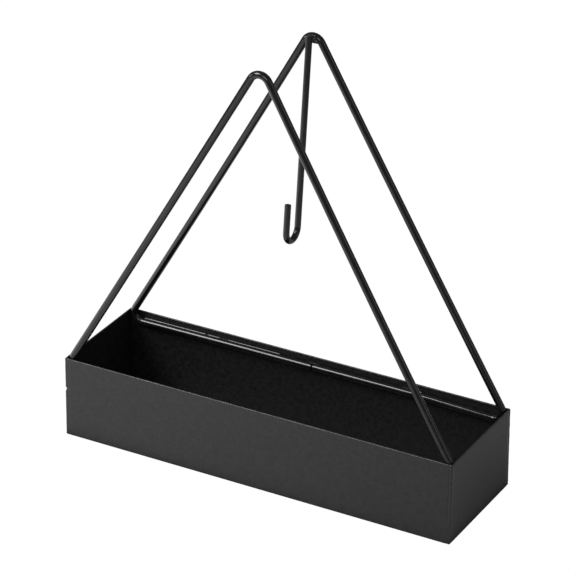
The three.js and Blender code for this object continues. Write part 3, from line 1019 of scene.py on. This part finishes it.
def spot_drops(side, shape, across):
    """A line of squeezed metal above and below the contact of wire and wall."""
    level = TRAY_RIM - shape["depth"][1] * MM
    drops = []
    last = 10
    for i in range(last + 1):
        x = across + SPOT_LENGTH * (i / last - 0.5)
        unevenness = 0.05 * wavy.noise(Vector((x * 900, side, 0.0)))
        swell = 0.38 + 0.14 * math.sin(math.pi * i / last) + unevenness
        for up in (-0.95, 0.95):
            spot = stand_up(x, level + up * MM, side)
            spot.y += side * (loop_radius - 0.15 * MM)
            drops.append((spot.x, spot.y, spot.z, swell * MM))
    return drops


# Spatter in mm: from the end of the tray, below the rim, radius, and how far it is sunk in.
SPATTER = ((0.82, 2.25, 0.75, 0.36), (1.45, 1.30, 0.50, 0.22))
spatter_drops = []
for from_end, below, size, sunk in SPATTER:
    height = TRAY_RIM - below * MM
    face = -TRAY_HALF_DEPTH + LEAN_SLOPE * height
    spatter_drops.append((TRAY_HALF_LENGTH - from_end * MM, face + sunk * MM, height, size * MM))
spatter = weld_piece("weld_spatter", spatter_drops, 7.0, 0.06 * MM, 3, 0.03 * MM, 0.5 * MM,
                     coat=wire_coat)
corners["front_right"] = join_pieces(corners["front_right"], [spatter])

spot_pieces = {}
for label, side, shape in (("front", -1, FRONT_SHAPE), ("rear", 1, REAR_SHAPE)):
    for where, across in (("left", -SPOT_X), ("middle", 0.0), ("right", SPOT_X)):
        spot_pieces[(label, where)] = weld_piece(
            f"{label}_spot_{where}", spot_drops(side, shape, across),
            2.0 + across * 30, 0.10 * MM, 4, 0.05 * MM, 0.8 * MM)
print("weld pieces:", 2 + len(spot_pieces))

# %% [markdown]
# ## Studio
# Black steel shows its shape by what it mirrors, so the studio is mostly dark, with a few soft
# boxes where a line of light is wanted. The key box, high at the front left, draws the long line
# along the rear wire and the spot on the front peak. A low box at the left lights the wires'
# flanks, a broad one in front fills, and a weak one at the right shapes the end wall.


# %% Soft boxes
WHITE = (1.0, 1.0, 1.0, 1.0)
AIM = Vector((0.0, 0.0, 0.08))
BOX_DISTANCE = 1.2


def soft_box(name, around, above, width, height, brightness):
    """A rectangular area light, placed by its angles round and above the object, facing it."""
    away = direction(math.radians(around), math.radians(above))
    data = bpy.data.lights.new(name, "AREA")
    data.shape = "RECTANGLE"
    data.size = width
    data.size_y = height
    data.energy = math.pi * width * height * brightness
    box = place(name, data)
    box.location = AIM + away * BOX_DISTANCE
    box.rotation_mode = "QUATERNION"
    box.rotation_quaternion = (-away).to_track_quat("-Z", "Y")
    print(name, "at", [round(v, 2) for v in box.location], "power W", round(data.energy, 2))


soft_box("key_box", -45, 45, 0.50, 0.58, 11.5)
soft_box("left_low_box", -62, 14, 0.20, 0.34, 7.0)
soft_box("front_fill_box", 10, 35, 0.65, 0.45, 2.9)
soft_box("right_box", 96, 22, 0.55, 0.75, 0.75)

# %% [markdown]
# The floor and the far background are plain white to the camera. What they send into the steel
# is a different matter: a real white sweep is bright where the boxes strike it, on the left and
# in front, and dull behind the object. Here that light and shade are painted into a glow of the
# floor, with a painted shadow beside the tray, over its grey paint. Light Path tells the two
# apart, so the background stays clean while the steel mirrors an uneven floor.


# %% Floor, world and view
def camera_switch(tree, seen, otherwise):
    """A shader that is one thing to the camera and another to every other ray."""
    path = tree.nodes.new("ShaderNodeLightPath")
    mix = tree.nodes.new("ShaderNodeMixShader")
    tree.links.new(path.outputs["Is Camera Ray"], mix.inputs[0])
    tree.links.new(otherwise, mix.inputs[1])
    tree.links.new(seen, mix.inputs[2])
    return mix.outputs[0]


GLOW_TO_RIGHT = -2.1        # change of the floor's glow per metre
GLOW_TO_REAR = -0.75
GLOW_REACH = 0.5
CONTACT_WIDTH = 7.0 * MM
SEEN_WHITE = 1.02           # strength of the white that only the camera sees
DIM_SKY = 0.17


def build_floor_material():
    material = bpy.data.materials.new("pale_floor")
    material.use_nodes = True
    tree = material.node_tree
    tree.nodes.clear()
    spot = tree.nodes.new("ShaderNodeTexCoord").outputs["Object"]
    axes = add_node(tree, "ShaderNodeSeparateXYZ", {"Vector": spot}).outputs
    slope = math_node(tree, "ADD", math_node(tree, "MULTIPLY", axes["X"], GLOW_TO_RIGHT),
                      math_node(tree, "MULTIPLY", axes["Y"], GLOW_TO_REAR))
    # Painted light: the glow is stronger to the left and in front, where the boxes would strike the
    # floor, and dull behind.
    bright = remap(tree, slope, -0.38, 0.60, 0.0, 0.98)
    distance = add_node(tree, "ShaderNodeVectorMath", {"Vector": spot}, operation="LENGTH")
    near = math_node(tree, "DIVIDE", distance.outputs["Value"], GLOW_REACH)
    squared = math_node(tree, "MULTIPLY", near, near)
    fade = math_node(tree, "EXPONENT", math_node(tree, "MULTIPLY", squared, -1.0))
    # Painted light: past the right end, where the tray's shadow would end, the glow grows lighter
    # again.
    painted_light_past_shadow = remap(tree, axes["X"], 0.112, 0.165, 0.0, 0.24)
    # Painted pool of light: left of the tray the glow is raised where the low lamp would light the
    # floor, which the slanting legs reflect.
    painted_lamp_pool = remap(tree, axes["X"], -0.15, -0.32, 0.0, 0.9)
    # Painted contact shadow: right beside the tray the glow fades to nothing.
    off_end, off_face = (
        math_node(tree, "SUBTRACT", math_node(tree, "ABSOLUTE", axes[axis], 0.0), half)
        for axis, half in (("X", 0.1), ("Y", 0.03)))
    contact = remap(tree, math_node(tree, "MAXIMUM", off_end, off_face), 0.0, CONTACT_WIDTH)
    extra = math_node(tree, "ADD", painted_light_past_shadow, painted_lamp_pool)
    strength = math_node(tree, "MULTIPLY", math_node(tree, "ADD", bright, extra), fade)
    strength = math_node(tree, "MULTIPLY", strength, contact)
    glow = add_node(tree, "ShaderNodeEmission", {"Strength": strength})
    paint = add_node(tree, "ShaderNodeBsdfDiffuse", {"Color": (0.5, 0.5, 0.5, 1.0)})
    bounce = tree.nodes.new("ShaderNodeAddShader")
    tree.links.new(paint.outputs[0], bounce.inputs[0])
    tree.links.new(glow.outputs[0], bounce.inputs[1])
    white = add_node(tree, "ShaderNodeEmission", {"Color": WHITE, "Strength": SEEN_WHITE})
    end = tree.nodes.new("ShaderNodeOutputMaterial")
    tree.links.new(camera_switch(tree, white.outputs[0], bounce.outputs[0]), end.inputs[0])
    return material


FLOOR_HALF = 4.0
FLOOR_LEVEL = -0.05 * MM
floor_points = [(x * FLOOR_HALF, y * FLOOR_HALF, FLOOR_LEVEL)
                for x, y in ((-1, -1), (1, -1), (1, 1), (-1, 1))]
floor_mesh = bpy.data.meshes.new("studio_floor")
floor_mesh.from_pydata(floor_points, [], [(0, 1, 2, 3)])
floor_mesh.materials.append(build_floor_material())
floor = place("studio_floor", floor_mesh)

world = bpy.data.worlds.new("white_studio")
bpy.context.scene.world = world
world.use_nodes = True
sky = world.node_tree
sky.nodes.clear()
seen_sky = add_node(sky, "ShaderNodeBackground", {"Color": WHITE, "Strength": SEEN_WHITE})
dim_sky = add_node(sky, "ShaderNodeBackground", {"Color": WHITE, "Strength": DIM_SKY})
sky_end = sky.nodes.new("ShaderNodeOutputWorld")
sky.links.new(camera_switch(sky, seen_sky.outputs[0], dim_sky.outputs[0]), sky_end.inputs[0])
bpy.context.scene.view_settings.view_transform = "Standard"
print("studio ready")

# %% [markdown]
# ## Hand over to the frame
# Every piece rides on the one rigid body, and the measured nodes it stands for are hidden.


# %% Bind the pieces
def bind(piece, slot, *nodes):
    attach(piece, "root")
    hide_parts(*nodes)


bind(tray, "sheet_coat", "tray_pan")
for zone, piece in corners.items():
    bind(piece, "seam_coat", "corner_weld_" + zone)
bind(front_loop, "wire_coat", "front_loop")
bind(rear_loop, "wire_coat", "rear_loop")
bind(hook, "wire_coat", "hanging_hook")
bind(hook_weld_right, "weld_coat", "hook_weld_right")
bind(hook_weld_left, "weld_coat", "hook_weld_left")
for (label, where), piece in spot_pieces.items():
    bind(piece, "weld_coat", f"{label}_spot_weld_{where}")
